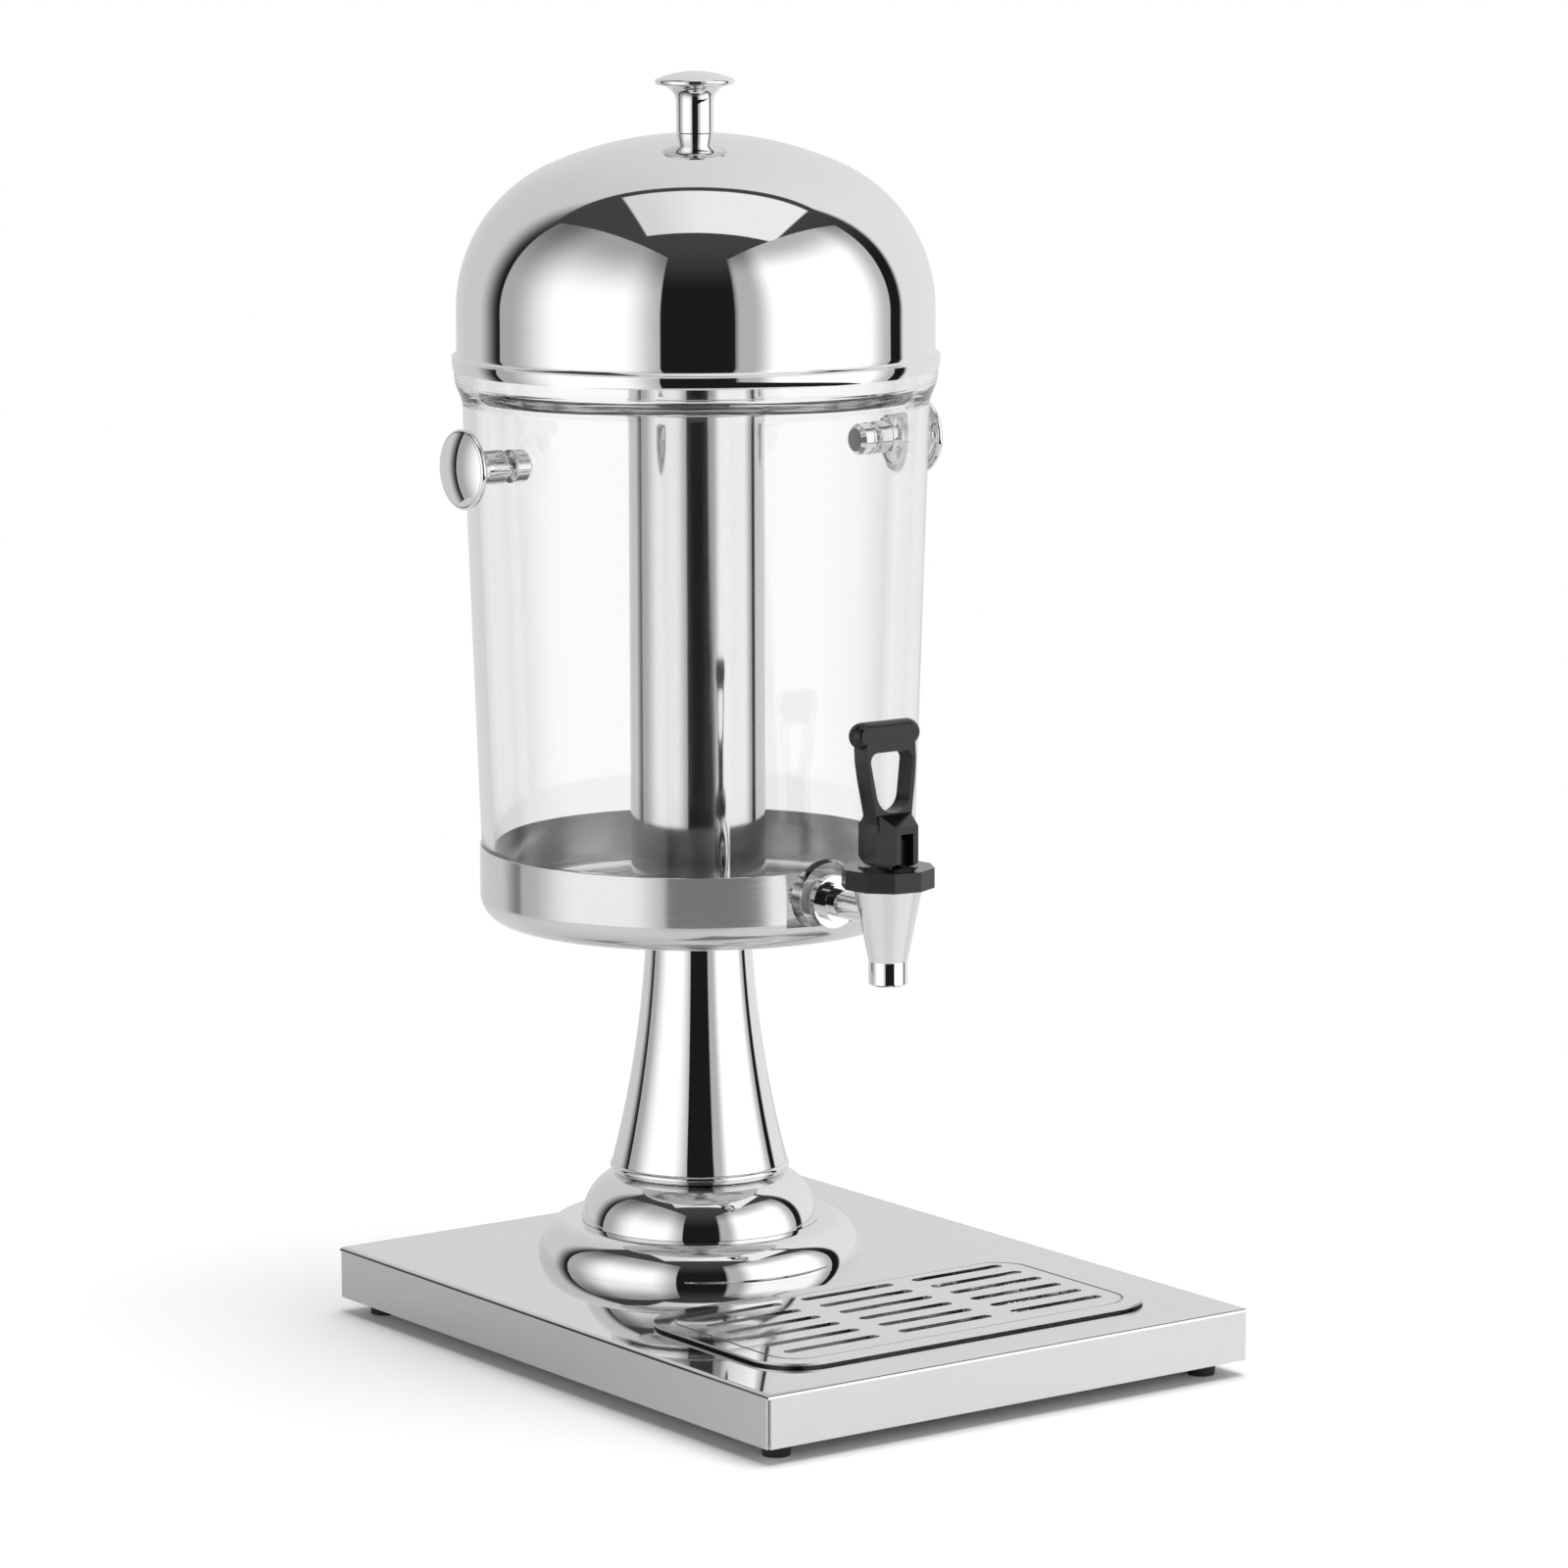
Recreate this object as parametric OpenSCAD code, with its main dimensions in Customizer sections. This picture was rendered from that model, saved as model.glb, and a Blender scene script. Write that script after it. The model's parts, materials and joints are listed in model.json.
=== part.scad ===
// Countertop drink dispenser: a clear bowl on a pedestal, with a lift lever tap over a drip tray.
// Millimetres, +Z up. The origin is on the floor, under the middle of the outline of the whole object.
// The tap points to -Y, which is the front, and +X is the right hand side seen from behind the tap.

/* [Base] */
// Width of the base
base_w = 260; // [250:1:300]
// Depth of the base, front to back
base_d = 338; // [330:1:380]
// Height of the folded skirt
base_h = 23.5; // [22:0.5:30]
// Sheet thickness of the base
base_t = 1.2; // [1:0.1:1.5]
// Outside bend radius of the top edges
base_bend = 2; // [1.5:0.1:3]
// Height of the rubber feet below the base
foot_h = 7; // [5:0.5:10]
// Distance of each foot's axis from the sides of the base
foot_inset = 14.5; // [12:0.5:20]

/* [Drip tray] */
// Outside width of the tray flange
tray_w = 208; // [180:1:230]
// Outside depth of the tray flange
tray_d = 112; // [90:1:116]
// Corner radius of the tray flange
tray_corner = 24; // [18:1:30]
// Distance of the tray's middle in front of the middle of the base
tray_front = 87; // [85:1:95]
// Number of slots across the grille
slot_columns = 3; // [2:1:3]
// Number of slots from front to back
slot_rows = 6; // [3:1:6]
// Length of one slot
slot_l = 50; // [30:1:52]
// Width of one slot
slot_w = 5; // [4:0.5:7]

/* [Pedestal] */
// Distance of the bowl and pedestal axis behind the middle of the base
bowl_back = 66; // [60:1:75]
// Outside radius of the pedestal foot
pedestal_r = 74; // [70:1:80]
// Outside radius of the second tier
tier_r = 54.3; // [50:0.5:58]
// Height of the underside of the bowl above the floor
bowl_z = 185.8; // [180:0.2:190]

/* [Bowl] */
// Outside radius of the steel pan
pan_r = 98.9; // [95:0.1:102]
// Height of the steel pan
pan_h = 34.2; // [30:0.2:40]
// Outside radius of the bowl just above the pan
bowl_r_low = 98.1; // [98.1:0.1:98.5]
// Outside radius of the bowl just below the collar
bowl_r_high = 104.8; // [103:0.1:106]
// Outside radius of the collar
collar_r = 108.5; // [107.5:0.1:108.6]
// Height of the bowl from the floor of the pan to the collar's top
bowl_h = 253.8; // [245:0.2:262]
// Wall thickness of the bowl
bowl_t = 5.4; // [4:0.1:6]
// Outside radius of the ice tube
ice_r = 30.5; // [25:0.5:35]
// Height of the two side knobs above the floor
knob_z = 397.5; // [380:0.5:405]

/* [Tap] */
// Distance from the bowl's axis to the tap's axis
tap_reach = 144; // [140:0.5:155]
// Height of the tap's shank above the floor
shank_z = 207.2; // [206:0.1:209]
// Backward rake of the lever handle, in degrees
lever_rake = 4; // [0:1:8]

/* [Lid] */
// Outside radius of the dome's wall
lid_r = 107.3; // [106:0.1:107.6]
// Radius of the dome's shoulder arc
lid_shoulder = 70.6; // [60:0.1:80]
// Radius of the dome's crown arc
lid_crown = 161; // [150:1:200]
// Sheet thickness of the lid
lid_t = 0.8; // [0.6:0.1:1]

/* [Hidden] */

// Facet counts: any count above 12 stands for a true curve
fine = 180;
round_n = 64;
small_n = 32;
column_n = 720;
wire_n = 8;
hex = 6;
// Overlap that makes cuts and joins clean
eps = 0.5;
// Gap between faces of parts that lift off each other
rest_gap = 0.1;
// Radial running clearance of a shaft in its bore
run_gap = 0.05;
// Slack in a thread, round a loose bolt, and round a part that seals in its hole
thread_gap = 0.1;
loose_gap = 0.2;
bore_gap = 0.3;

// Plan: the outline from the front of the base to the back of the lid is centred on the origin
lid_lip_r = 109.6;
base_y = (base_d / 2 - bowl_back - lid_lip_r) / 2;
bowl_y = base_y + bowl_back;
tray_y = base_y - tray_front;

// Base
base_top = foot_h + base_h;
base_under = base_top - base_t;
flange_w = 22;
seam = 1.4;
seam_top = base_top - base_bend;
foot_x = base_w / 2 - foot_inset;
foot_y = base_d / 2 - foot_inset;
foot_r_top = 6.5;
foot_r_low = 6;
foot_recess_r = 4;
foot_recess_h = 3;
m4_r = 2;
m4_head_r = 3.6;
m4_head_h = 1.8;
m4_nut_r = 4;
m4_nut_h = 3.2;
stiffener_r = 62;
stiffener_t = 3;

// Drip tray and grille
tray_rim = 7.5;
tray_t = 1;
tray_bottom = 16;
tray_fit = 0.5;
lip_h = 1;
lip_t = 1.2;
well_w = tray_w - 2 * tray_rim;
well_d = tray_d - 2 * tray_rim;
well_corner = tray_corner - tray_rim;
tray_flange_z = base_top + lip_h + rest_gap;
ledge_w = 4;
grille_t = 1;
grille_fit = 0.4;
grille_side_fit = 1.4;
grille_z = tray_flange_z + tray_t - grille_t;
ledge_z = grille_z - rest_gap - tray_t;
slot_pitch_x = 61.2;
slot_pitch_y = 14.4;
slot_y = tray_y + 3.2;

// Pedestal
shell_t = 1.2;
foot_lip = 2;
foot_arc = 14.1;
tier_z = base_top + foot_lip + foot_arc;
tier_lip = 3.9;
tier_arc = 18.5;
bead_z = tier_z + tier_lip + tier_arc;
bead_h = 4.3;
bead_r = 41;
bead_bore = 30;
column_z = bead_z + bead_h;
column_waist_r = 23.3;
column_waist_z = 203;
column_flare = 510;
seat_flange_h = 2.3;
seat_flange_r = 24.6;
seat_top = bowl_z - rest_gap;
column_top = seat_top - seat_flange_h;
seat_r = 22;
seat_web_z = 160;
seat_web_t = 4;
spigot_r = 17;
spigot_t = 2;
spigot_z = 165.5;
m8_r = 4;
m8_nut_r = 7.5;
m8_nut_h = 6.5;
m8_washer_r = 8;
m8_washer_t = 1.6;
rod_hole_r = 4.3;
rod_low = 12;
rod_high = 174;

// Pan and bowl
pan_t = 0.8;
pan_corner = 12;
pan_floor = bowl_z + pan_t;
pan_rim = bowl_z + pan_h;
notch_half = 20.4;
notch_z = 196;
gasket_t = 1.3;
gasket_r = 60;
bowl_foot_z = pan_floor + gasket_t;
bowl_foot_arc = 10.9;
bowl_floor_z = bowl_foot_z + bowl_t;
skirt_r = pan_r - pan_t - 0.1;
bowl_step_z = pan_rim + 0.3;
collar_top = pan_floor + bowl_h;
collar_low = collar_top - 7.8;
shoulder_z = collar_low - 13.6;
shoulder_n = 12;
mouth_r = 100.2;
collar_edge = 0.8;
boss_r = 19.5;
boss_face_r = 15.4;
boss_z = shank_z + 1.5;
boss_front = bowl_y - 100.8;
boss_cut_z = notch_z + 0.3;
ice_t = 1;
ice_gasket_t = 1.4;
ice_z = bowl_floor_z + ice_gasket_t;
ice_top = 430;
ice_bead = 1.3;
stud_low = 176;

// Knobs
knob_disc_r = 17.8;
knob_edge = 1.5;
knob_crown = 3.2;
knob_flare = 8;
lid_knob_stem_r = 8.3;
lid_knob_h = 24.1;
side_knob_stem_r = 7.5;
side_knob_h = 18.4;
side_washer_x = 104.7;
side_washer_t = 1.5;
side_washer_r = 7.5;
side_knob_x = side_washer_x + side_washer_t;
knob_inner_x = 98.1;
knob_shank_end = 91.5;
knob_nut_r = 7.2;
knob_nut_h = 4.6;
knob_cap_r = 5.4;
knob_cap_h = 2;

// Tap
tap_y = bowl_y - tap_reach;
shank_r = 6.3;
shank_bore = 3;
shank_end = -15;
spout_r = 8.5;
spout_bore = 6.2;
spout_z = 176.3;
spout_chamfer = 0.7;
cup_low_z = 186.8;
cup_r = 15.1;
cup_top = 219.4;
thread_r = 13.6;
thread_top = 225;
seat_hole = 5.6;
seat_z = 193;
chamber_low_r = 7.9;
chamber_r = 11.6;
chamber_z = 212;
collar_nut_r = 20.6;
collar_nut_z = 219.6;
collar_nut_top = 228.4;
collar_nut_plate = 225.2;
collar_boss_r = 13;
collar_boss_top = 229.1;
collar_nut_turn = -10.3;
collar_nut_sides = 10;
tap_gasket_t = 1.2;
tap_gasket_r = 11.2;
flange_disc_r = 11.75;
flange_disc_t = 3.2;
flange_hub_r = 8.6;
flange_hub_t = 4.3;
back_face = -26.1;
back_washer_t = 1.5;
back_nut_r = 8.4;
back_nut_t = 5;

// Valve and lever
stem_r = 3;
stem_low = 196;
seat_lip = 1.4;
cam_gap = 0.4;
cam_drop = 6.6;
pin_z = collar_boss_top + cam_gap + cam_drop;
pin_r = 1.6;
pin_left = 8.2;
pin_right = 8.9;
stem_top = pin_z + 4;
plug_r = 7.3;
plug_z = seat_z + rest_gap;
plug_h = 5.9;
spring_r = 5.2;
spring_wire = 0.45;
spring_turns = 7;
spring_rings_per_turn = 11;
spring_low = plug_z + plug_h + 0.1;
spring_high = collar_nut_plate - 0.1;
block_half = 9;
block_back = 11;
block_top = 247.7;
block_bevel = 1.5;
nose_half = 6;
nose_front = 14;
nose_root = 3;
nose_z = pin_z - 4.6;
toe_y = 9.5;
heel_r = 8.5;
heel_y = 2.5;
fork_half = 3.3;
fork_back = 5.5;
fork_top = pin_z + 8.4;
crotch_z = 252.2;
crotch_front = 5;
arm_depth = 9.8;
arm_low = block_top - 3;
arm_waist_z = 253;
arm_waist = 9.8;
arm_mid_z = 267;
arm_mid = 12.1;
arm_wide_z = 275;
arm_wide = 13;
arm_top = 284;
loop_r = 9;
loop_z = 261.3;
loop_corner_r = 4;
loop_corner_x = 7.3;
loop_corner_z = 275;
bar_z = 286.5;
bar_r = 6;
bar_half = 11.8;
bar_flat = 4.7;

// Lid
lid_lip_h = 5.8;
lid_crease = collar_top + rest_gap + lid_t;
lid_lip_low = lid_crease - lid_lip_h;
lid_lip_arc = 0.8;
lid_spring_z = 462;
crown_z = lid_spring_z - sqrt(pow(lid_crown - lid_shoulder, 2) - pow(lid_r - lid_shoulder, 2));
crown_angle = atan2(lid_spring_z - crown_z, lid_r - lid_shoulder);
lid_apex = crown_z + lid_crown;
lid_stud_r = 3;
lid_stud_l = 9;
lid_nut_r = 5.8;
lid_nut_h = 4.8;
lid_washer_r = 9;
lid_washer_t = 1.2;
lid_washer_gap = 0.4;

module move_to_base() translate([0, base_y, 0]) children();
module move_to_bowl() translate([0, bowl_y, 0]) children();
module move_to_tap() translate([0, tap_y, 0]) children();

// A solid of revolution about the bowl's axis, drawn as radius and height
module turned() move_to_bowl() rotate_extrude($fn = fine) children();

// A rectangle in radius and height, from one corner to the other
module band(r1, z1, r2, z2) translate([r1, z1]) square([r2 - r1, z2 - z1]);

module disc(r, low, high, n = round_n) translate([0, 0, low]) cylinder(h = high - low, r = r, $fn = n);

module ring(r_out, r_in, low, high, n = round_n) {
    difference() {
        disc(r_out, low, high, n);
        disc(r_in, low - eps, high + eps, n);
    }
}

// A rectangle with round corners
module rounded(w, d, r) {
    square([w - 2 * r, d], center = true);
    square([w, d - 2 * r], center = true);
    for (x = [-1, 1], y = [-1, 1])
        translate([x * (w / 2 - r), y * (d / 2 - r)]) circle(r = r, $fn = round_n);
}

module rounded_block(w, d, r, low, high)
    translate([0, tray_y, low]) linear_extrude(height = high - low) rounded(w, d, r);

// ---------- Base ----------

// The section of a folded box: a flat top with a bend at both sides
module box_section(width, low, high, r) {
    translate([-width / 2, low]) square([width, high - r - low]);
    translate([-width / 2 + r, low]) square([width - 2 * r, high - low]);
    for (s = [-1, 1]) translate([s * (width / 2 - r), high - r]) circle(r = r, $fn = small_n);
}

module folded_box(w, d, low, high, r) {
    intersection() {
        translate([0, d / 2, 0]) rotate([90, 0, 0]) linear_extrude(height = d) box_section(w, low, high, r);
        translate([-w / 2, 0, 0]) rotate([90, 0, 90]) linear_extrude(height = w) box_section(d, low, high, r);
    }
}

module at_feet() move_to_base() for (x = [-1, 1], y = [-1, 1]) translate([x * foot_x, y * foot_y, 0]) children();

module base_pan() {
    open_w = base_w - 2 * flange_w;
    open_d = base_d - 2 * flange_w;
    color("gainsboro") {
        difference() {
            move_to_base() folded_box(base_w, base_d, foot_h, base_top, base_bend);
            move_to_base() folded_box(base_w - 2 * base_t, base_d - 2 * base_t, foot_h + base_t, base_under,
                base_bend - base_t);
            move_to_base() translate([-open_w / 2, -open_d / 2, foot_h - eps])
                cube([open_w, open_d, base_t + 2 * eps]);
            rounded_block(well_w + 2 * tray_fit, well_d + 2 * tray_fit, well_corner + tray_fit,
                base_under - eps, base_top + eps);
            move_to_bowl() disc(rod_hole_r, base_under - eps, base_top + eps);
            at_feet() disc(m4_r + loose_gap, foot_h - eps, foot_h + base_t + eps, small_n);
            move_to_base() for (x = [-1, 1], y = [-1, 1])
                translate([x * base_w / 2, y * base_d / 2, (foot_h + seam_top) / 2 - eps])
                    cube([2 * seam, 2 * seam, seam_top - foot_h + 2 * eps], center = true);
        }
        difference() {
            rounded_block(well_w + 2 * (tray_fit + lip_t), well_d + 2 * (tray_fit + lip_t),
                well_corner + tray_fit + lip_t, base_under, base_top + lip_h);
            rounded_block(well_w + 2 * tray_fit, well_d + 2 * tray_fit, well_corner + tray_fit,
                base_under - eps, base_top + lip_h + eps);
        }
    }
}

module base_stiffener() color("silver") move_to_bowl()
    ring(stiffener_r, rod_hole_r, base_under - stiffener_t, base_under);

module rubber_foot() {
    color("dimgray") difference() {
        cylinder(h = foot_h, r1 = foot_r_low, r2 = foot_r_top, $fn = round_n);
        disc(foot_recess_r, -eps, foot_recess_h, small_n);
        disc(m4_r + thread_gap, 0, foot_h + eps, small_n);
    }
}

module foot_front_left() move_to_base() translate([-foot_x, -foot_y, 0]) rubber_foot();
module foot_front_right() move_to_base() translate([foot_x, -foot_y, 0]) rubber_foot();
module foot_back_left() move_to_base() translate([-foot_x, foot_y, 0]) rubber_foot();
module foot_back_right() move_to_base() translate([foot_x, foot_y, 0]) rubber_foot();

module foot_screws() color("silver") at_feet() {
    disc(m4_head_r, foot_recess_h - m4_head_h, foot_recess_h, small_n);
    disc(m4_r, foot_recess_h - m4_head_h, foot_h + base_t + m4_nut_h + 1, small_n);
}

module foot_nuts() color("silver") at_feet() difference() {
    disc(m4_nut_r, foot_h + base_t, foot_h + base_t + m4_nut_h, hex);
    disc(m4_r, foot_h, foot_h + base_t + m4_nut_h + eps, small_n);
}

// ---------- Drip tray ----------

module drip_tray() color("gainsboro") {
    flange_top = tray_flange_z + tray_t;
    difference() {
        union() {
            rounded_block(tray_w, tray_d, tray_corner, tray_flange_z, flange_top);
            rounded_block(well_w, well_d, well_corner, tray_bottom, flange_top);
        }
        rounded_block(well_w - 2 * tray_t, well_d - 2 * tray_t, well_corner - tray_t,
            ledge_z + tray_t, flange_top + eps);
        rounded_block(well_w - 2 * (tray_t + ledge_w), well_d - 2 * (tray_t + ledge_w),
            well_corner - tray_t - ledge_w, ledge_z - eps, flange_top + eps);
        rounded_block(well_w - 2 * tray_t, well_d - 2 * tray_t, well_corner - tray_t,
            tray_bottom + tray_t, ledge_z);
    }
}

module slot() {
    square([slot_l - slot_w, slot_w], center = true);
    for (s = [-1, 1]) translate([s * (slot_l - slot_w) / 2, 0]) circle(d = slot_w, $fn = small_n);
}

module drip_grille() color("gainsboro") difference() {
    inset = tray_t + grille_fit;
    side_inset = tray_t + grille_side_fit;
    rounded_block(well_w - 2 * side_inset, well_d - 2 * inset, well_corner - inset, grille_z, grille_z + grille_t);
    for (i = [0 : slot_columns - 1], j = [0 : slot_rows - 1])
        translate([(i - (slot_columns - 1) / 2) * slot_pitch_x,
            slot_y + (j - (slot_rows - 1) / 2) * slot_pitch_y, grille_z - eps])
            linear_extrude(height = grille_t + 2 * eps) slot();
}

// ---------- Pedestal ----------

// The half section of a stepped dome: a lip, then a quarter arc, then a flat top
module dome_section(r, low, lip, arc) {
    band(0, low, r, low + lip);
    band(0, low + lip - eps, r - arc, low + lip + arc);
    intersection() {
        translate([r - arc, low + lip]) circle(r = arc, $fn = fine);
        band(0, low, r, low + lip + arc);
    }
}

module dome_shell(r, low, lip, arc, bore) {
    color("lightsteelblue") turned() difference() {
        dome_section(r, low, lip, arc);
        dome_section(r - shell_t, low - eps, lip + eps, arc - shell_t);
        band(0, low - eps, bore, low + lip + arc + eps);
    }
}

module pedestal_foot() dome_shell(pedestal_r, base_top, foot_lip, foot_arc, rod_hole_r);
module pedestal_tier() dome_shell(tier_r, tier_z, tier_lip, tier_arc, rod_hole_r);

module pedestal_bead() color("lightsteelblue") turned() {
    band(bead_bore, bead_z, bead_r - bead_h / 2, bead_z + bead_h);
    translate([bead_r - bead_h / 2, bead_z + bead_h / 2]) circle(d = bead_h, $fn = round_n);
}

// The column's trumpet is a large arc, concave to the outside
module pedestal_column() color("lightsteelblue") turned() intersection() {
    difference() {
        translate([column_waist_r + column_flare, column_waist_z]) circle(r = column_flare + shell_t, $fn = column_n);
        translate([column_waist_r + column_flare, column_waist_z]) circle(r = column_flare, $fn = column_n);
    }
    band(0, column_z, pedestal_r, column_top);
}

module column_seat() color("silver") turned() {
    difference() {
        union() {
            band(0, seat_web_z, seat_r, seat_top);
            band(0, column_top, seat_flange_r, seat_top);
        }
        band(0, seat_web_z + seat_web_t, spigot_r + run_gap, seat_top + eps);
        band(0, seat_web_z - eps, rod_hole_r, seat_top);
    }
}

module tie_rod() color("silver") move_to_bowl() disc(m8_r, rod_low, rod_high, small_n);

module m8_nut(low) ring(m8_nut_r, m8_r, low, low + m8_nut_h, hex);

module tie_rod_nuts() color("silver") move_to_bowl() {
    plate_under = base_under - stiffener_t;
    ring(m8_washer_r, m8_r, plate_under - m8_washer_t, plate_under);
    difference() {
        disc(m8_nut_r, plate_under - m8_washer_t - m8_nut_h, plate_under - m8_washer_t, hex);
        disc(m8_r, 0, plate_under, small_n);
    }
    difference() {
        disc(m8_nut_r, seat_web_z + seat_web_t, seat_web_z + seat_web_t + m8_nut_h, hex);
        disc(m8_r, seat_web_z, rod_high, small_n);
    }
}

// ---------- Bowl ----------

// The half section of a pan: a flat floor and a wall joined by an arc
module pan_section(r, low, high, arc) {
    band(0, low, r - arc, high);
    band(0, low + arc, r, high);
    translate([r - arc, low + arc]) circle(r = arc, $fn = round_n);
}

module bowl_pan() color("silver") difference() {
    turned() difference() {
        pan_section(pan_r, bowl_z, pan_rim, pan_corner);
        pan_section(pan_r - pan_t, pan_floor, pan_rim + eps, pan_corner - pan_t);
        band(0, bowl_z - eps, rod_hole_r, pan_floor + eps);
    }
    translate([-notch_half, bowl_y - pan_r - eps, notch_z]) cube([2 * notch_half, pan_r / 2, pan_h]);
}

module pan_spigot() color("silver") turned() band(spigot_r - spigot_t, spigot_z, spigot_r, bowl_z);

module bowl_gasket() color("dimgray") turned()
    band(gasket_r, pan_floor, pan_r - pan_corner, bowl_foot_z);

// Everything inside the bowl's outer surface
module bowl_outer() {
    arc_r = skirt_r - bowl_foot_arc;
    arc_z = bowl_foot_z + bowl_foot_arc;
    band(0, bowl_foot_z, arc_r, bowl_step_z);
    band(0, arc_z, skirt_r, bowl_step_z);
    translate([arc_r, arc_z]) circle(r = bowl_foot_arc, $fn = round_n);
    shoulder = [for (i = [0 : shoulder_n]) let (t = i / shoulder_n)
        [bowl_r_high + (collar_r - bowl_r_high) * t * t * (3 - 2 * t), shoulder_z + (collar_low - shoulder_z) * t]];
    polygon(concat([[0, bowl_step_z - eps], [skirt_r, bowl_step_z - eps], [skirt_r, bowl_step_z],
        [bowl_r_low, bowl_step_z]], shoulder, [[collar_r, collar_top - collar_edge],
        [collar_r - collar_edge, collar_top], [0, collar_top]]));
}

// Everything inside the bowl's inner surface
module bowl_inner() {
    arc = bowl_foot_arc - bowl_t;
    arc_r = skirt_r - bowl_foot_arc;
    arc_z = bowl_foot_z + bowl_foot_arc;
    inner_low = skirt_r - bowl_t;
    band(0, arc_z - arc, arc_r, bowl_step_z);
    band(0, arc_z, inner_low, bowl_step_z);
    translate([arc_r, arc_z]) circle(r = arc, $fn = round_n);
    polygon([[0, bowl_step_z - eps], [inner_low, bowl_step_z - eps], [inner_low, bowl_step_z],
        [bowl_r_high - bowl_t, shoulder_z], [mouth_r, collar_top + eps], [0, collar_top + eps]]);
}

// The moulded boss that carries the tap stands out through the notch in the pan
module tap_boss() {
    boss_back = bowl_y - skirt_r + bowl_t;
    intersection() {
        translate([0, boss_back, boss_z]) rotate([90, 0, 0])
            cylinder(h = boss_back - boss_front, r1 = boss_r, r2 = boss_face_r, $fn = round_n);
        translate([-boss_r, boss_front - eps, boss_cut_z]) cube([2 * boss_r, pan_r, 2 * boss_r]);
    }
}

module bowl() color("aliceblue", 0.35) difference() {
    union() {
        turned() bowl_outer();
        tap_boss();
    }
    turned() bowl_inner();
    move_to_bowl() disc(rod_hole_r, bowl_foot_z - eps, bowl_floor_z + eps, small_n);
    along_shank(0, -bowl_y, shank_r + bore_gap);
    translate([0, bowl_y, knob_z]) rotate([0, 90, 0]) disc(m8_r + thread_gap, -collar_r, collar_r, small_n);
}

module ice_tube() color("silver") turned() {
    difference() {
        band(0, ice_z, ice_r, ice_top);
        band(0, ice_z + ice_t, ice_r - ice_t, ice_top + eps);
    }
    translate([ice_r, ice_top]) circle(r = ice_bead, $fn = small_n);
}

module ice_tube_gasket() color("dimgray") turned() band(rod_hole_r, bowl_floor_z, ice_r - 2 * ice_t, ice_z);

module ice_tube_stud() color("silver") move_to_bowl() disc(m8_r, stud_low, ice_z, small_n);

module ice_tube_nut() color("silver") move_to_bowl() {
    nut_top = bowl_z - m8_washer_t;
    ring(m8_washer_r, m8_r, nut_top, bowl_z);
    difference() {
        disc(m8_nut_r, nut_top - m8_nut_h, nut_top, hex);
        disc(m8_r, stud_low - eps, bowl_z, small_n);
    }
}

// ---------- Knobs ----------

// The half section of a mushroom knob that stands on z = 0, with its rim's middle at height h
module knob_section(stem_r, h) {
    rim_r = knob_disc_r - knob_edge;
    under = h - knob_edge;
    crown_arc = (rim_r * rim_r + knob_crown * knob_crown) / (2 * knob_crown);
    band(0, 0, stem_r, h);
    band(0, under, rim_r, h + knob_edge);
    translate([rim_r, h]) circle(r = knob_edge, $fn = small_n);
    difference() {
        band(0, under - knob_flare, stem_r + knob_flare, under + knob_edge);
        translate([stem_r + knob_flare, under - knob_flare]) circle(r = knob_flare, $fn = round_n);
    }
    intersection() {
        translate([0, h + knob_edge + knob_crown - crown_arc]) circle(r = crown_arc, $fn = fine);
        band(0, h, rim_r, h + knob_edge + knob_crown);
    }
}

module side_knob(side) {
    translate([side * side_knob_x, bowl_y, knob_z]) rotate([0, side * 90, 0]) {
        rotate_extrude($fn = round_n) knob_section(side_knob_stem_r, side_knob_h);
        disc(m8_r, knob_shank_end - side_knob_x, eps, small_n);
    }
}

module knob_left() color("lightsteelblue") side_knob(-1);
module knob_right() color("lightsteelblue") side_knob(1);

module knob_washers() color("whitesmoke") for (s = [-1, 1])
    translate([0, bowl_y, knob_z]) rotate([0, s * 90, 0]) {
        ring(side_washer_r, m8_r, side_washer_x, side_knob_x);
        ring(side_washer_r, m8_r, knob_inner_x - side_washer_t, knob_inner_x);
    }

module knob_nuts() color("lightsteelblue") for (s = [-1, 1])
    translate([0, bowl_y, knob_z]) rotate([0, s * 90, 0]) {
        nut_x = knob_inner_x - side_washer_t;
        difference() {
            union() {
                disc(knob_nut_r, nut_x - knob_nut_h, nut_x);
                translate([0, 0, nut_x - knob_nut_h - knob_cap_h])
                    cylinder(h = knob_cap_h, r1 = knob_cap_r, r2 = knob_nut_r, $fn = round_n);
            }
            disc(m8_r, knob_shank_end, nut_x + eps, small_n);
        }
    }

// ---------- Tap ----------

module along_shank(from_y, to_y, r, n = round_n)
    translate([0, from_y, shank_z]) rotate([90, 0, 0]) cylinder(h = from_y - to_y, r = r, $fn = n);

module tap_body() color("lightsteelblue") difference() {
    union() {
        move_to_tap() rotate_extrude($fn = round_n) polygon([[0, spout_z], [spout_r - spout_chamfer, spout_z],
            [spout_r, spout_z + spout_chamfer], [spout_r, cup_low_z], [cup_r, cup_top],
            [thread_r, cup_top], [thread_r, thread_top], [0, thread_top]]);
        along_shank(shank_end, tap_y, shank_r);
    }
    move_to_tap() rotate_extrude($fn = round_n) polygon([[0, spout_z - eps], [spout_bore, spout_z - eps],
        [spout_bore, seat_z - seat_lip], [seat_hole, seat_z - seat_lip], [seat_hole, seat_z], [chamber_low_r, seat_z],
        [chamber_r, chamber_z], [chamber_r, thread_top + eps], [0, thread_top + eps]]);
    along_shank(shank_end + eps, tap_y, shank_bore);
}

module tap_gasket() color("dimgray") difference() {
    along_shank(boss_front, boss_front - tap_gasket_t, tap_gasket_r);
    along_shank(boss_front + eps, boss_front - tap_gasket_t - eps, shank_r);
}

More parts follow.
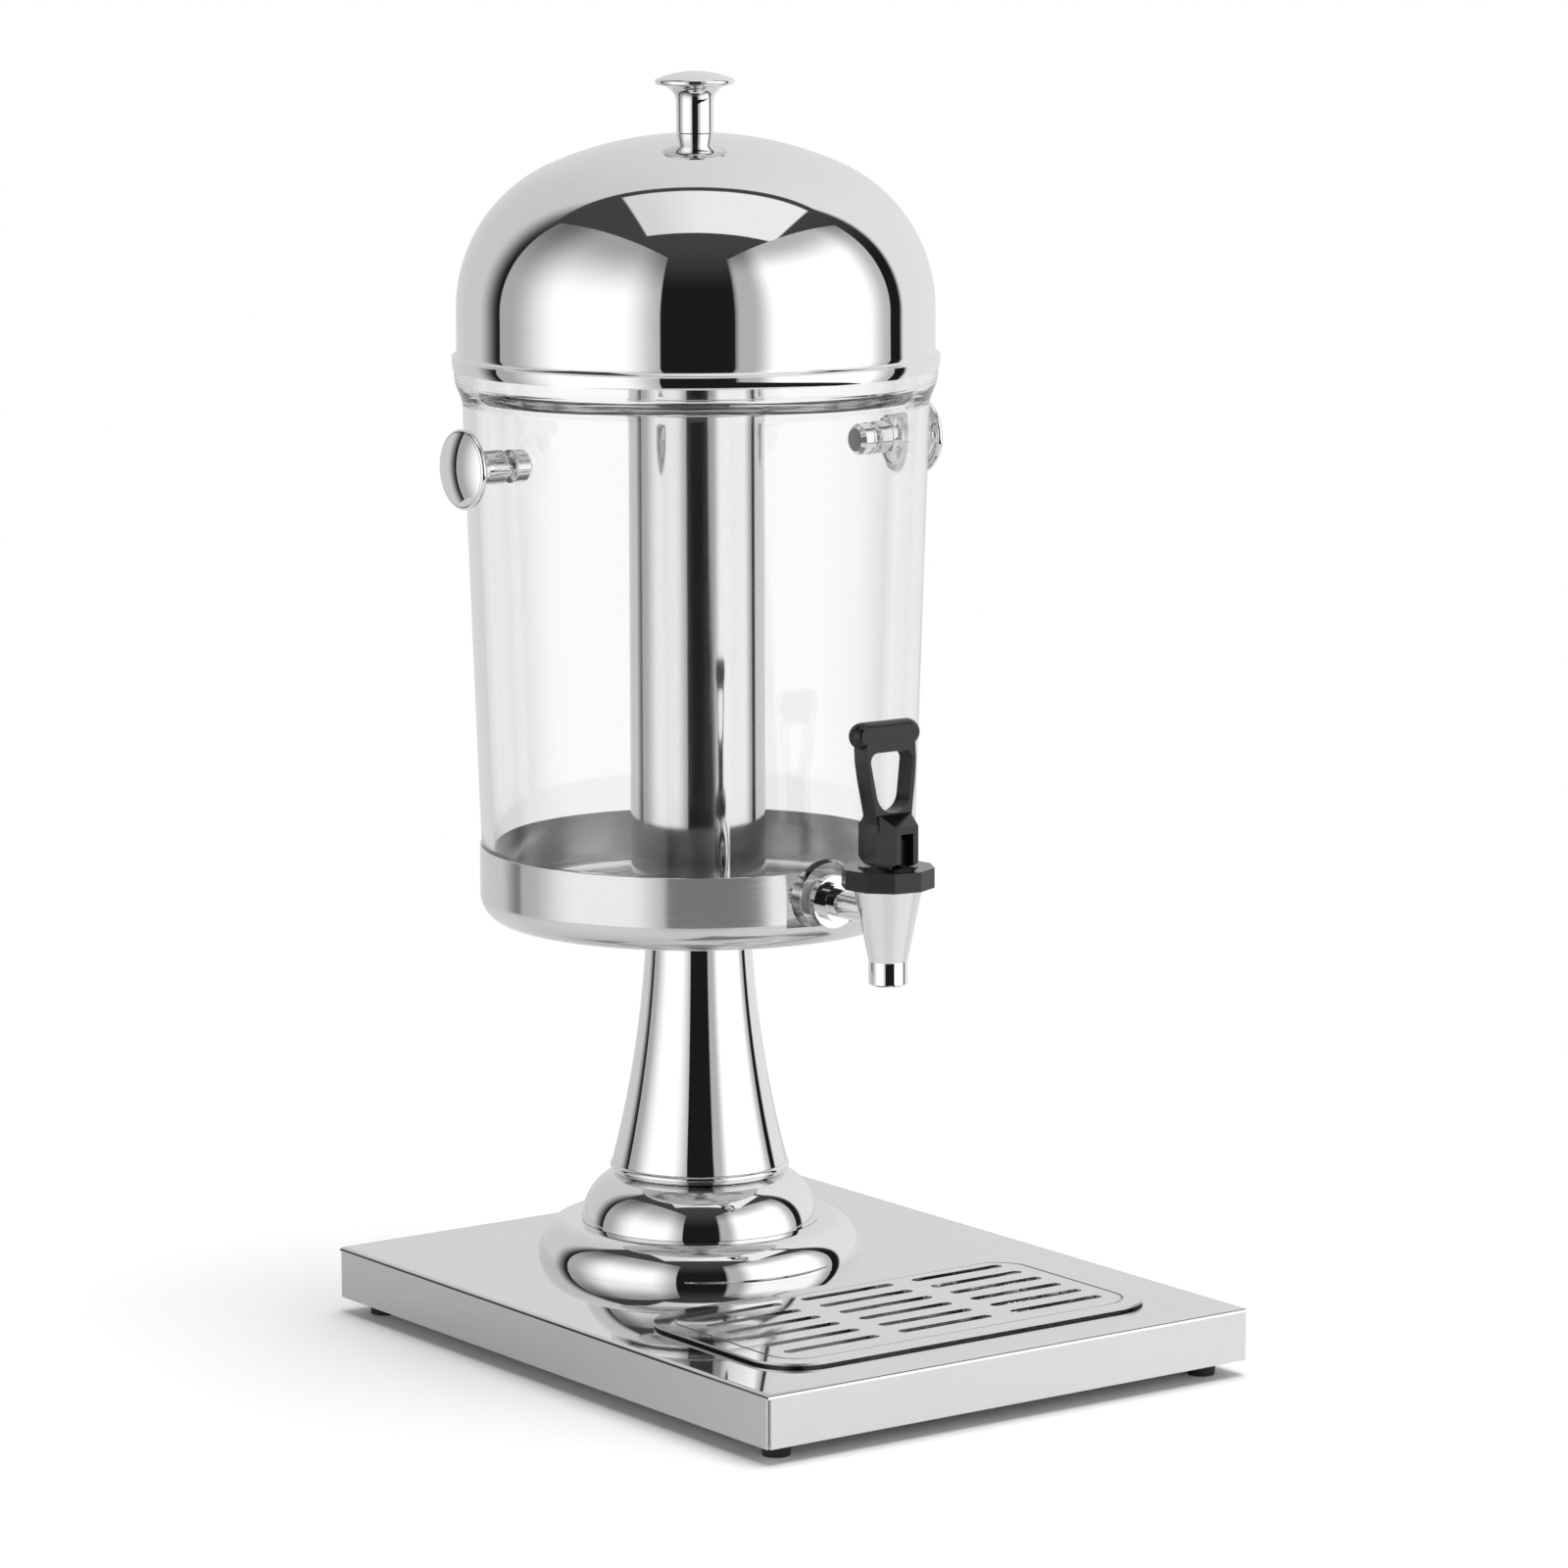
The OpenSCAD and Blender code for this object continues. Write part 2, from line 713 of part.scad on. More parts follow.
module tap_flange() color("lightsteelblue") difference() {
    face = boss_front - tap_gasket_t;
    union() {
        along_shank(face, face - flange_disc_t, flange_disc_r);
        along_shank(face, face - flange_disc_t - flange_hub_t, flange_hub_r);
    }
    along_shank(face + eps, face - flange_disc_t - flange_hub_t - eps, shank_r + run_gap);
}

module tap_back_nut() color("silver") difference() {
    nut_face = back_face + back_washer_t;
    union() {
        along_shank(nut_face, back_face, back_nut_r - bore_gap);
        along_shank(nut_face + back_nut_t, nut_face, back_nut_r, hex);
    }
    along_shank(0, back_face - eps, shank_r);
}

module tap_collar() color("black") move_to_tap() difference() {
    union() {
        rotate([0, 0, collar_nut_turn]) disc(collar_nut_r, collar_nut_z, collar_nut_top, collar_nut_sides);
        disc(collar_boss_r, collar_nut_plate, collar_boss_top);
    }
    disc(thread_r + thread_gap, collar_nut_z - eps, collar_nut_plate);
    disc(stem_r + run_gap, collar_nut_z, collar_boss_top + eps, small_n);
}

// ---------- Valve and lever ----------

module along_pin(x1, x2, r)
    translate([x1, tap_y, pin_z]) rotate([0, 90, 0]) cylinder(h = x2 - x1, r = r, $fn = small_n);

module valve_stem() color("silver") difference() {
    move_to_tap() disc(stem_r, stem_low, stem_top, small_n);
    along_pin(-stem_r - eps, stem_r + eps, pin_r);
}

module seat_cup() color("whitesmoke") move_to_tap() difference() {
    union() {
        disc(plug_r, plug_z, plug_z + plug_h - 1);
        disc(plug_r - 1, plug_z, plug_z + plug_h);
    }
    disc(stem_r, stem_low, plug_z + plug_h + eps, small_n);
}

// The spring's wire follows a helix, swept as rings of eight points
module valve_spring() {
    rings = spring_turns * spring_rings_per_turn;
    low = spring_low + spring_wire;
    rise = spring_high - spring_wire - low;
    function wire_point(i, k) =
        let (a = 360 * spring_turns * i / rings, c = spring_r + spring_wire * cos(360 / wire_n * k))
        [c * cos(a), c * sin(a), low + rise * i / rings + spring_wire * sin(360 / wire_n * k)];
    points = [for (i = [0 : rings], k = [0 : wire_n - 1]) wire_point(i, k)];
    sides = [for (i = [0 : rings - 1], k = [0 : wire_n - 1])
        let (n = (k + 1) % wire_n, a = wire_n * i, b = a + wire_n) [a + k, a + n, b + n, b + k]];
    ends = [[for (k = [wire_n - 1 : -1 : 0]) k], [for (k = [0 : wire_n - 1]) wire_n * rings + k]];
    color("silver") move_to_tap() polyhedron(points = points, faces = concat(sides, ends), convexity = 10);
}

module lever_pin() color("silver") along_pin(-pin_left, pin_right, pin_r);

// The block's side view: a flat toe to the front and a round heel at the back
module block_side() {
    low = pin_z - cam_drop;
    polygon([[-nose_front, nose_z], [-toe_y, low], [heel_y, low], [heel_y, block_top], [-nose_front, block_top]]);
    translate([heel_y, low + heel_r]) circle(r = heel_r, $fn = round_n);
    translate([0, low + heel_r]) square([block_back, block_top - low - heel_r]);
    polygon([[-nose_front, block_top - 1], [-nose_front, block_top], [-crotch_front, crotch_z],
        [crotch_front, crotch_z], [block_back - 2, block_top - 1]]);
}

// The block's plan: a box with a nose to the front
module block_plan() {
    back = block_back - block_bevel;
    side = block_half - block_bevel;
    polygon([[-nose_half, -nose_front], [nose_half, -nose_front], [block_half, -nose_root],
        [block_half, back], [side, block_back], [-side, block_back], [-block_half, back],
        [-block_half, -nose_root]]);
}

module lever_block() intersection() {
    translate([-block_half, 0, 0]) rotate([90, 0, 90]) linear_extrude(height = 2 * block_half) block_side();
    linear_extrude(height = crotch_z) block_plan();
}

// The finger opening: one large circle below and two small ones above, joined by their tangents
module loop_opening() {
    rise = loop_corner_z - loop_z;
    apart = sqrt(loop_corner_x * loop_corner_x + rise * rise);
    turn = atan2(rise, loop_corner_x) - acos((loop_r - loop_corner_r) / apart);
    low_x = loop_r * cos(turn);
    low_z = loop_z + loop_r * sin(turn);
    high_x = loop_corner_x + loop_corner_r * cos(turn);
    high_z = loop_corner_z + loop_corner_r * sin(turn);
    top = loop_corner_z + loop_corner_r;
    translate([0, loop_z]) circle(r = loop_r, $fn = round_n);
    for (s = [-1, 1]) translate([s * loop_corner_x, loop_corner_z]) circle(r = loop_corner_r, $fn = small_n);
    polygon([[-low_x, low_z], [-high_x, high_z], [-loop_corner_x, high_z], [-loop_corner_x, top],
        [loop_corner_x, top], [loop_corner_x, high_z], [high_x, high_z], [low_x, low_z]]);
}

// The D shaped handle: two thin arms around a finger opening, and a round bar with a flat face across the top
module lever_handle() {
    translate([0, arm_depth / 2, 0]) rotate([90, 0, 0]) linear_extrude(height = arm_depth) difference() {
        polygon([[-block_half, arm_low], [-block_half, block_top], [-arm_waist, arm_waist_z],
            [-arm_mid, arm_mid_z], [-arm_wide, arm_wide_z], [-arm_wide, arm_top], [arm_wide, arm_top],
            [arm_wide, arm_wide_z], [arm_mid, arm_mid_z], [arm_waist, arm_waist_z],
            [block_half, block_top], [block_half, arm_low]]);
        loop_opening();
    }
    difference() {
        translate([0, 0, bar_z]) {
            rotate([0, 90, 0]) cylinder(h = 2 * bar_half, r = bar_r, center = true, $fn = round_n);
            for (s = [-1, 1]) translate([s * bar_half, 0, 0]) sphere(r = bar_r, $fn = round_n);
        }
        translate([-2 * bar_half, -bar_r - bar_flat, bar_z - bar_r - eps])
            cube([4 * bar_half, bar_r, 2 * bar_r + 2 * eps]);
    }
}

module tap_lever() color("black") difference() {
    move_to_tap() union() {
        lever_block();
        translate([0, 0, block_top]) rotate([-lever_rake, 0, 0]) translate([0, 0, -block_top]) lever_handle();
    }
    translate([-fork_half, tap_y - 2 * nose_front, pin_z - 2 * cam_drop])
        cube([2 * fork_half, 2 * nose_front + fork_back, fork_top - pin_z + 2 * cam_drop]);
    along_pin(-pin_left - loose_gap, block_half + eps, pin_r + run_gap);
}

// ---------- Lid ----------

// Everything inside a dome of two arcs, drawn in by t from the outer surface
module dome_fill(t) {
    shoulder = lid_shoulder - t;
    crown = lid_crown - t;
    reach = 2 * lid_crown;
    band(0, lid_lip_low - eps, lid_r - t, lid_spring_z);
    intersection() {
        translate([lid_r - lid_shoulder, lid_spring_z]) circle(r = shoulder, $fn = fine);
        band(0, lid_spring_z - eps, lid_r, lid_spring_z + lid_shoulder);
    }
    intersection() {
        translate([0, crown_z]) circle(r = crown, $fn = fine);
        polygon([[0, crown_z], [reach * cos(crown_angle), crown_z + reach * sin(crown_angle)],
            [0, crown_z + reach]]);
    }
}

module lid_dome() color("lightsteelblue") turned() difference() {
    union() {
        intersection() {
            dome_fill(0);
            band(0, lid_crease - lid_t, lid_r, lid_apex + eps);
        }
        band(0, lid_lip_low + lid_lip_arc, lid_lip_r, lid_crease - lid_lip_arc);
        band(0, lid_lip_low, lid_lip_r - lid_lip_arc, lid_crease);
        for (z = [lid_lip_low + lid_lip_arc, lid_crease - lid_lip_arc])
            translate([lid_lip_r - lid_lip_arc, z]) circle(r = lid_lip_arc, $fn = small_n);
    }
    dome_fill(lid_t);
    band(0, lid_lip_low - eps, lid_lip_r - lid_t, lid_crease - lid_t);
    band(0, lid_crease, lid_stud_r + loose_gap, lid_apex + eps);
}

module lid_knob() color("lightsteelblue") translate([0, bowl_y, lid_apex]) {
    rotate_extrude($fn = round_n) knob_section(lid_knob_stem_r, lid_knob_h - knob_edge);
    disc(lid_stud_r, -lid_stud_l, eps, small_n);
}

module lid_nut() color("silver") move_to_bowl() {
    washer_top = lid_apex - lid_t - lid_washer_gap;
    washer_low = washer_top - lid_washer_t;
    ring(lid_washer_r, lid_stud_r, washer_low, washer_top);
    difference() {
        disc(lid_nut_r, washer_low - lid_nut_h, washer_low, hex);
        disc(lid_stud_r, lid_crease, lid_apex, small_n);
    }
}

base_pan();
base_stiffener();
foot_front_left();
foot_front_right();
foot_back_left();
foot_back_right();
foot_screws();
foot_nuts();
drip_tray();
drip_grille();
pedestal_foot();
pedestal_tier();
pedestal_bead();
pedestal_column();
column_seat();
tie_rod();
tie_rod_nuts();
bowl_pan();
pan_spigot();
bowl_gasket();
bowl();
ice_tube();
ice_tube_gasket();
ice_tube_stud();
ice_tube_nut();
knob_left();
knob_right();
knob_washers();
knob_nuts();
tap_body();
tap_flange();
tap_gasket();
tap_back_nut();
tap_collar();
valve_stem();
seat_cup();
valve_spring();
lever_pin();
tap_lever();
lid_dome();
lid_knob();
lid_nut();
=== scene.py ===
import json
import math

import bmesh
import bpy
from mathutils import Matrix, Vector


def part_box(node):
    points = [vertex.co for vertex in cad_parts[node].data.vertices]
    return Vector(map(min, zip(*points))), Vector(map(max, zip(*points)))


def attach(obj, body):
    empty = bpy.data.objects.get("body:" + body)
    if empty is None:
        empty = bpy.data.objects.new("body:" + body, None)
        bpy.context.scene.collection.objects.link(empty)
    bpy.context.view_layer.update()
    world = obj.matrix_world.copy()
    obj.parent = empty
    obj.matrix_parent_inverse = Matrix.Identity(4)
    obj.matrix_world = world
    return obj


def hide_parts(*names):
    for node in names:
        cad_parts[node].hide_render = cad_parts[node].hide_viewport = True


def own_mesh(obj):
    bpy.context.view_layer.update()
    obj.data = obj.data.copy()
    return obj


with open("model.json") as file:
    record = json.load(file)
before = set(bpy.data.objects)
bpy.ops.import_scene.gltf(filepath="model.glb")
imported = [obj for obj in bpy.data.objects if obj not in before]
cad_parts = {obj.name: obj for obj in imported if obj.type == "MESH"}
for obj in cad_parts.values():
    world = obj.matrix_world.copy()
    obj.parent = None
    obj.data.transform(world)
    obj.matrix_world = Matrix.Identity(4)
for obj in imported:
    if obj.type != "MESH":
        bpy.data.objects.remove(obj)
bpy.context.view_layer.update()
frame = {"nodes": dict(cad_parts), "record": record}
nodes = frame["nodes"]
scene = bpy.context.scene
MM = 0.001
UP = Vector((0.0, 0.0, 1.0))


def box(node):
    """A CAD node's lowest and highest corners, in millimetres."""
    return [Vector(corner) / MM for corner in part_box(node)]


def middle(node):
    low, high = box(node)
    return (low + high) / 2


# ---------- Node helpers ----------


class Net:
    """A node tree with short calls. A value is a number, a tuple or another node's socket."""

    def __init__(self, tree):
        self.tree = tree
        self.tree.nodes.clear()

    def add(self, kind, **props):
        node = self.tree.nodes.new(kind)
        for key, value in props.items():
            setattr(node, key, value)
        return node

    def put(self, socket, value):
        if isinstance(value, bpy.types.NodeSocket):
            self.tree.links.new(value, socket)
        else:
            socket.default_value = value

    def math(self, op, a, b=0.0):
        node = self.add("ShaderNodeMath", operation=op)
        for socket, value in zip(node.inputs, (a, b)):
            self.put(socket, value)
        return node.outputs[0]

    def share(self, a, b, part):
        """This part of a, and the rest from b."""
        return self.math("ADD", self.math("MULTIPLY", a, part), self.math("MULTIPLY", b, 1 - part))

    def dot(self, a, b):
        node = self.add("ShaderNodeVectorMath", operation="DOT_PRODUCT")
        self.put(node.inputs[0], a)
        self.put(node.inputs[1], b)
        return node.outputs["Value"]

    def step(self, value, low, high, to_low=0.0, to_high=1.0, smooth=True):
        """value from low..high to to_low..to_high, clamped."""
        kind = "SMOOTHSTEP" if smooth else "LINEAR"
        node = self.add("ShaderNodeMapRange", interpolation_type=kind, clamp=True)
        names = ("Value", "From Min", "From Max", "To Min", "To Max")
        for name, item in zip(names, (value, low, high, to_low, to_high)):
            self.put(node.inputs[name], item)
        return node.outputs["Result"]

    def mix(self, factor, a, b):
        """a where factor is 0 and b where it is 1, for numbers."""
        node = self.add("ShaderNodeMix", data_type="FLOAT")
        self.put(node.inputs["Factor"], factor)
        self.put(node.inputs["A"], a)
        self.put(node.inputs["B"], b)
        return node.outputs["Result"]

    def coords(self, scale):
        """Object coordinates, in metres, times scale."""
        where = self.add("ShaderNodeTexCoord")
        mapping = self.add("ShaderNodeMapping")
        self.put(mapping.inputs["Vector"], where.outputs["Object"])
        self.put(mapping.inputs["Scale"], scale)
        return mapping.outputs["Vector"]

    def noise(self, scale, detail=3.0, rough=0.55):
        node = self.add("ShaderNodeTexNoise")
        self.put(node.inputs["Vector"], self.coords(scale))
        self.put(node.inputs["Scale"], 1.0)
        self.put(node.inputs["Detail"], detail)
        self.put(node.inputs["Roughness"], rough)
        return node.outputs["Fac"]

    def bump(self, height, strength, distance):
        node = self.add("ShaderNodeBump")
        self.put(node.inputs["Strength"], strength)
        self.put(node.inputs["Distance"], distance)
        self.put(node.inputs["Height"], height)
        return node.outputs["Normal"]

    def ramp(self, factor, stops):
        node = self.add("ShaderNodeValToRGB")
        self.put(node.inputs["Fac"], factor)
        ends = node.color_ramp.elements
        while len(ends) < len(stops):
            ends.new(0.5)
        for element, (place, value) in zip(ends, stops):
            element.position = place
            element.color = (*value, 1.0)
        return node.outputs["Color"]


def material(name, **values):
    """A new material with one Principled shader, its net and the shader's inputs."""
    made = bpy.data.materials.new(name)
    made.use_nodes = True
    net = Net(made.node_tree)
    out = net.add("ShaderNodeOutputMaterial")
    bsdf = net.add("ShaderNodeBsdfPrincipled")
    net.tree.links.new(bsdf.outputs["BSDF"], out.inputs["Surface"])
    for key, value in values.items():
        net.put(bsdf.inputs[key], value)
    return made, net, bsdf.inputs


# ---------- Materials ----------

# noise scales of the polishing lines, in waves per metre along x, y and z
AROUND = (6.0, 6.0, 2600.0)
SATIN = (5.0, 5.0, 1300.0)
ALONG_Z = (2600.0, 2600.0, 6.0)
ALONG_X = (6.0, 2600.0, 2600.0)
WEAR = (14.0, 14.0, 14.0)
SPECKS = (900.0, 900.0, 900.0)
SMUDGES = (30.0, 30.0, 30.0)
MOULD_WAVES = (9.0, 9.0, 5.0)
# the middle of a noise's values, where most of its variation is
SWING = (0.3, 0.7)


def varied(net, pins, noise, colour, darkest):
    """The base colour, down to that share of it where the noise is low."""
    low = [c * darkest for c in colour]
    net.put(pins["Base Color"], net.ramp(noise, [(SWING[0], low), (SWING[1], list(colour))]))


def steel(name, colour, rough, spread, brushing, scratch, metallic=1.0):
    """Stainless steel: fine lines along the brushing, cloudy wear in the polish and small specks."""
    made, net, pins = material(name, Metallic=metallic)
    lines = net.noise(brushing, detail=4.0, rough=0.7)
    worn = net.share(lines, net.noise(WEAR), 0.6)
    net.put(pins["Roughness"], net.step(worn, *SWING, rough - spread, rough + spread, smooth=False))
    varied(net, pins, net.share(worn, net.noise(SPECKS, detail=1.0), 0.85), colour, 0.95)
    net.put(pins["Normal"], net.bump(lines, scratch, 0.02 * MM))
    return made


def moulded(name, colour, rough, spread, grain, strength):
    """Moulded plastic or rubber: a fine grain and smudged gloss."""
    made, net, pins = material(name)
    smudges = net.noise(SMUDGES, detail=2.0)
    net.put(pins["Roughness"], net.step(smudges, *SWING, rough - spread, rough + spread, smooth=False))
    varied(net, pins, smudges, colour, 0.85)
    net.put(pins["Normal"], net.bump(net.noise((grain, grain, grain), detail=2.0), strength, 0.05 * MM))
    return made


def clear(name):
    """Clear plastic, a little uneven from the mould."""
    made, net, pins = material(name, Metallic=0.0)
    net.put(pins["Base Color"], (0.96, 0.963, 0.963, 1.0))
    net.put(pins["Transmission Weight"], 1.0)
    net.put(pins["IOR"], 1.49)
    wave = net.noise(MOULD_WAVES, detail=2.0)
    net.put(pins["Roughness"], net.step(wave, *SWING, 0.0, 0.012, smooth=False))
    net.put(pins["Normal"], net.bump(wave, 0.04, 2 * MM))
    # lamps shine straight through, so that what stands inside is lit
    plain = net.add("ShaderNodeBsdfTransparent")
    net.put(plain.inputs["Color"], (0.93, 0.93, 0.93, 1.0))
    pick = net.add("ShaderNodeMixShader")
    surface = net.tree.nodes["Material Output"].inputs["Surface"]
    net.put(pick.inputs[1], surface.links[0].from_socket)
    net.put(pick.inputs[2], plain.outputs[0])
    net.put(pick.inputs["Fac"], net.add("ShaderNodeLightPath").outputs["Is Shadow Ray"])
    net.put(surface, pick.outputs[0])
    return made


# slot: colour, roughness and its spread, direction of the lines, their depth, and how metallic
STEELS = {
    "polished_steel": ((0.87, 0.87, 0.875), 0.03, 0.015, AROUND, 0.02),
    "chrome": ((0.88, 0.88, 0.885), 0.02, 0.01, AROUND, 0.01),
    "base_sheet": ((0.82, 0.82, 0.825), 0.035, 0.015, ALONG_X, 0.03),
    "tray_steel": ((0.82, 0.82, 0.825), 0.05, 0.02, ALONG_X, 0.03),
    # a satin sheet scatters a little of the light
    "pan_steel": ((0.76, 0.76, 0.765), 0.12, 0.03, SATIN, 0.3, 0.74),
    "tube_steel": ((0.8, 0.8, 0.805), 0.09, 0.02, ALONG_Z, 0.03),
    "zinc_steel": ((0.62, 0.63, 0.64), 0.32, 0.06, AROUND, 0.1),
    # painted shade: the tray flange's underside and cut edge get a darker, duller steel, standing in for the
    # shadow gap under the flange
    "tray_under_painted_shade": ((0.3, 0.3, 0.3), 0.5, 0.05, ALONG_X, 0.1),
    "tray_edge_painted_shade": ((0.7, 0.7, 0.705), 0.4, 0.05, ALONG_X, 0.1),
}
# slot: colour, roughness and its spread, grain in waves per metre, and the grain's depth
MOULDED = {
    "lever_plastic": ((0.005, 0.005, 0.005), 0.14, 0.04, 2600.0, 0.12),
    "collar_plastic": ((0.006, 0.006, 0.006), 0.14, 0.04, 2200.0, 0.1),
    "rubber": ((0.02, 0.02, 0.02), 0.6, 0.08, 1800.0, 0.5),
    "silicone": ((0.72, 0.72, 0.7), 0.45, 0.05, 900.0, 0.15),
    "white_plastic": ((0.86, 0.86, 0.85), 0.35, 0.05, 900.0, 0.1),
}
finishes = {slot: steel(slot, *values) for slot, values in STEELS.items()}
finishes.update({slot: moulded(slot, *values) for slot, values in MOULDED.items()})
finishes["clear_plastic"] = clear("clear_plastic")
for row in frame["record"]["subparts"]:
    mesh = nodes[row["node"]].data
    mesh.materials.clear()
    mesh.materials.append(finishes[row["material_slot"]])


def tray_flange():
    """Gives the underside and the edges of the tray's flange darker, duller steels: painted shade for the
    shadow gap under the flange.
    """
    tray = nodes["drip_tray"].data
    flange_low = (box("drip_tray")[1].z - 1.05) * MM
    tray.materials.append(finishes["tray_under_painted_shade"])
    tray.materials.append(finishes["tray_edge_painted_shade"])
    # painted shade: faces under the flange and on its edges take the darker steels
    for face in tray.polygons:
        if face.center.z > flange_low and face.normal.z < 0.5:
            face.material_index = 1 if face.normal.z < -0.5 else 2


tray_flange()


# ---------- Turned pieces ----------

TURN_STEPS = 192
WASHER_STEPS = 48
SHARP_ANGLE = math.radians(25.0)
BOWL_AXIS = middle("ice_tube")


def skin(build, rings):
    """Closes a row of equal rings into one surface, the last ring joined to the first."""
    count = len(rings[0])
    for ring, following in zip(rings, rings[1:] + rings[:1]):
        for i in range(count):
            j = (i + 1) % count
            build.faces.new((ring[i], ring[j], following[j], following[i]))


def finish_piece(name, build, slot, body, stands_for):
    """Makes the mesh a smooth shaded piece on that body, in the place of that CAD node."""
    mesh = bpy.data.meshes.new(name)
    bmesh.ops.recalc_face_normals(build, faces=build.faces)
    for face in build.faces:
        face.smooth = True
    build.to_mesh(mesh)
    build.free()
    mesh.set_sharp_from_angle(angle=SHARP_ANGLE)
    mesh.materials.append(finishes[slot])
    made = bpy.data.objects.new(name, mesh)
    scene.collection.objects.link(made)
    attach(made, body)
    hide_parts(stands_for)


def circle(steps):
    return [2 * math.pi * i / steps for i in range(steps)]


def lathe(name, profile, slot, body, stands_for):
    """A closed profile of radius and height in millimetres, turned about the bowl's axis."""
    build = bmesh.new()
    rings = []
    x, y = BOWL_AXIS.xy
    for r, z in profile:
        around = [(x + r * math.cos(a), y + r * math.sin(a), z) for a in circle(TURN_STEPS)]
        rings.append([build.verts.new([v * MM for v in place]) for place in around])
    skin(build, rings)
    finish_piece(name, build, slot, body, stands_for)


def arc(centre, radii, start, end, steps):
    """Points on an ellipse from one angle to the other, in degrees from the level."""
    turns = [math.radians(start + (end - start) * i / steps) for i in range(steps + 1)]
    return [(centre[0] + radii[0] * math.cos(a), centre[1] + radii[1] * math.sin(a)) for a in turns]


def pedestal():
    """The foot and the tier: pressed sheets, each with a bulging side and a flat rim under the next piece."""
    play, sheet, steps = 0.02, 0.78, 28
    low, high = box("pedestal_foot")
    floor_z, rim_z = low.z + play, high.z - play
    bulge, rim_r, wall = 14.1, 44.0, 0.9
    centre_r = high.x - bulge
    foot = arc((centre_r, floor_z), (bulge, rim_z - floor_z), 0, 90, steps)
    foot += [(rim_r, rim_z), (rim_r, rim_z - sheet)]
    foot += [(centre_r, 45.7), (68.0, 42.0), (72.6, 35.0), (high.x - wall, floor_z)]
    lathe("pedestal_foot_turned", foot, "polished_steel", "base", "pedestal_foot")

    low, high = box("pedestal_tier")
    floor_z, rim_z = low.z + 5 * play, high.z - play
    centre, rim_r = (33.0, 44.0), 30.0
    tier = arc(centre, (21.4, rim_z - centre[1]), 6.2, 90, steps)
    tier += [(rim_r, rim_z), (rim_r, rim_z - sheet)]
    tier += [(centre[0], 68.1), (44.5, 64.0), (51.5, 54.5), (high.x - wall, floor_z)]
    lathe("pedestal_tier_turned", tier, "polished_steel", "base", "pedestal_tier")


def dome():
    """The lid: a lip that rolls under a sharp flared edge, a short wall, the shoulder and the crown."""
    lid_r, shoulder, crown, sheet = 107.3, 70.6, 161.0, 0.7
    wall_top, crown_z, meeting, apex = 462.0, 379.38, 66.0, 87.6
    crown_start = meeting + 0.6
    at_shoulder, at_crown = (lid_r - shoulder, wall_top), (0.0, crown_z)
    lip = [(108.95, 435.55), (109.2, 436.6), (109.38, 438.0), (109.42, 439.6), (109.3, 440.7)]
    flare = [(109.45, 441.1), (109.58, 441.35), (109.5, 441.55), (108.6, 442.0), (107.8, 442.7)]
    wall = [(107.4, 443.8), (lid_r, 445.5)]
    outer = arc(at_shoulder, (shoulder, shoulder), 0, meeting, 40)
    outer += arc(at_crown, (crown, crown), crown_start, apex, 22)
    inside, under = shoulder - sheet, crown - sheet
    inner = arc(at_crown, (under, under), apex, crown_start, 22)
    inner += arc(at_shoulder, (inside, inside), meeting, 0, 40)
    lining = [(lid_r - sheet, 445.0), (106.7, 443.2), (108.6, 441.2), (108.75, 440.0), (108.62, 435.6)]
    lathe("lid_dome_turned", lip + flare + wall + outer + inner + lining, "polished_steel", "lid", "lid_dome")


def knob_washers():
    """Two polished washers on each side knob's stem, either side of the wall."""
    hole, radius, thick, edge = 4.1, 7.5, 1.5, 0.3
    inner_start = box("knob_nuts")[1].x
    outer_start = box("knob_washers")[1].x - thick
    at = middle("knob_right")
    build = bmesh.new()

    def ring(x, r):
        around = [(x, at.y + r * math.cos(a), at.z + r * math.sin(a)) for a in circle(WASHER_STEPS)]
        return [build.verts.new([v * MM for v in place]) for place in around]

    for sign in (-1, 1):
        for start in (inner_start, outer_start):
            end = start + thick
            section = [(hole, start), (radius - edge, start), (radius, start + edge)]
            section += [(radius, end - edge), (radius - edge, end), (hole, end)]
            skin(build, [ring(sign * along, r) for r, along in section])
    finish_piece("knob_washers_turned", build, "chrome", "bowl", "knob_washers")


pedestal()
dome()
knob_washers()


# ---------- Valve spring ----------


def shorten_spring():
    """The real spring shortens as the valve rises. Here the spring only gets its own copy of its mesh."""
    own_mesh(nodes["valve_spring"])


shorten_spring()


# ---------- Edges ----------


def bevel(node, width, segments):
    """Rounds a CAD piece's edges a little, so that they catch the light."""
    made = nodes[node].modifiers.new("edges", "BEVEL")
    made.width = width * MM
    made.segments = segments
    made.limit_method = "ANGLE"
    made.angle_limit = math.radians(28.0)
    made.harden_normals = True
    made.use_clamp_overlap = True


bevel("tap_lever", 0.7, 3)
bevel("tap_collar", 0.5, 3)
bevel("drip_grille", 0.2, 2)


# ---------- Camera ----------

CAMERA_FROM_BASE = Vector((-1621.7, -2253.4, 696.0))
YAW, PITCH, ROLL = (math.radians(v) for v in (-35.75, 9.03, -0.14))


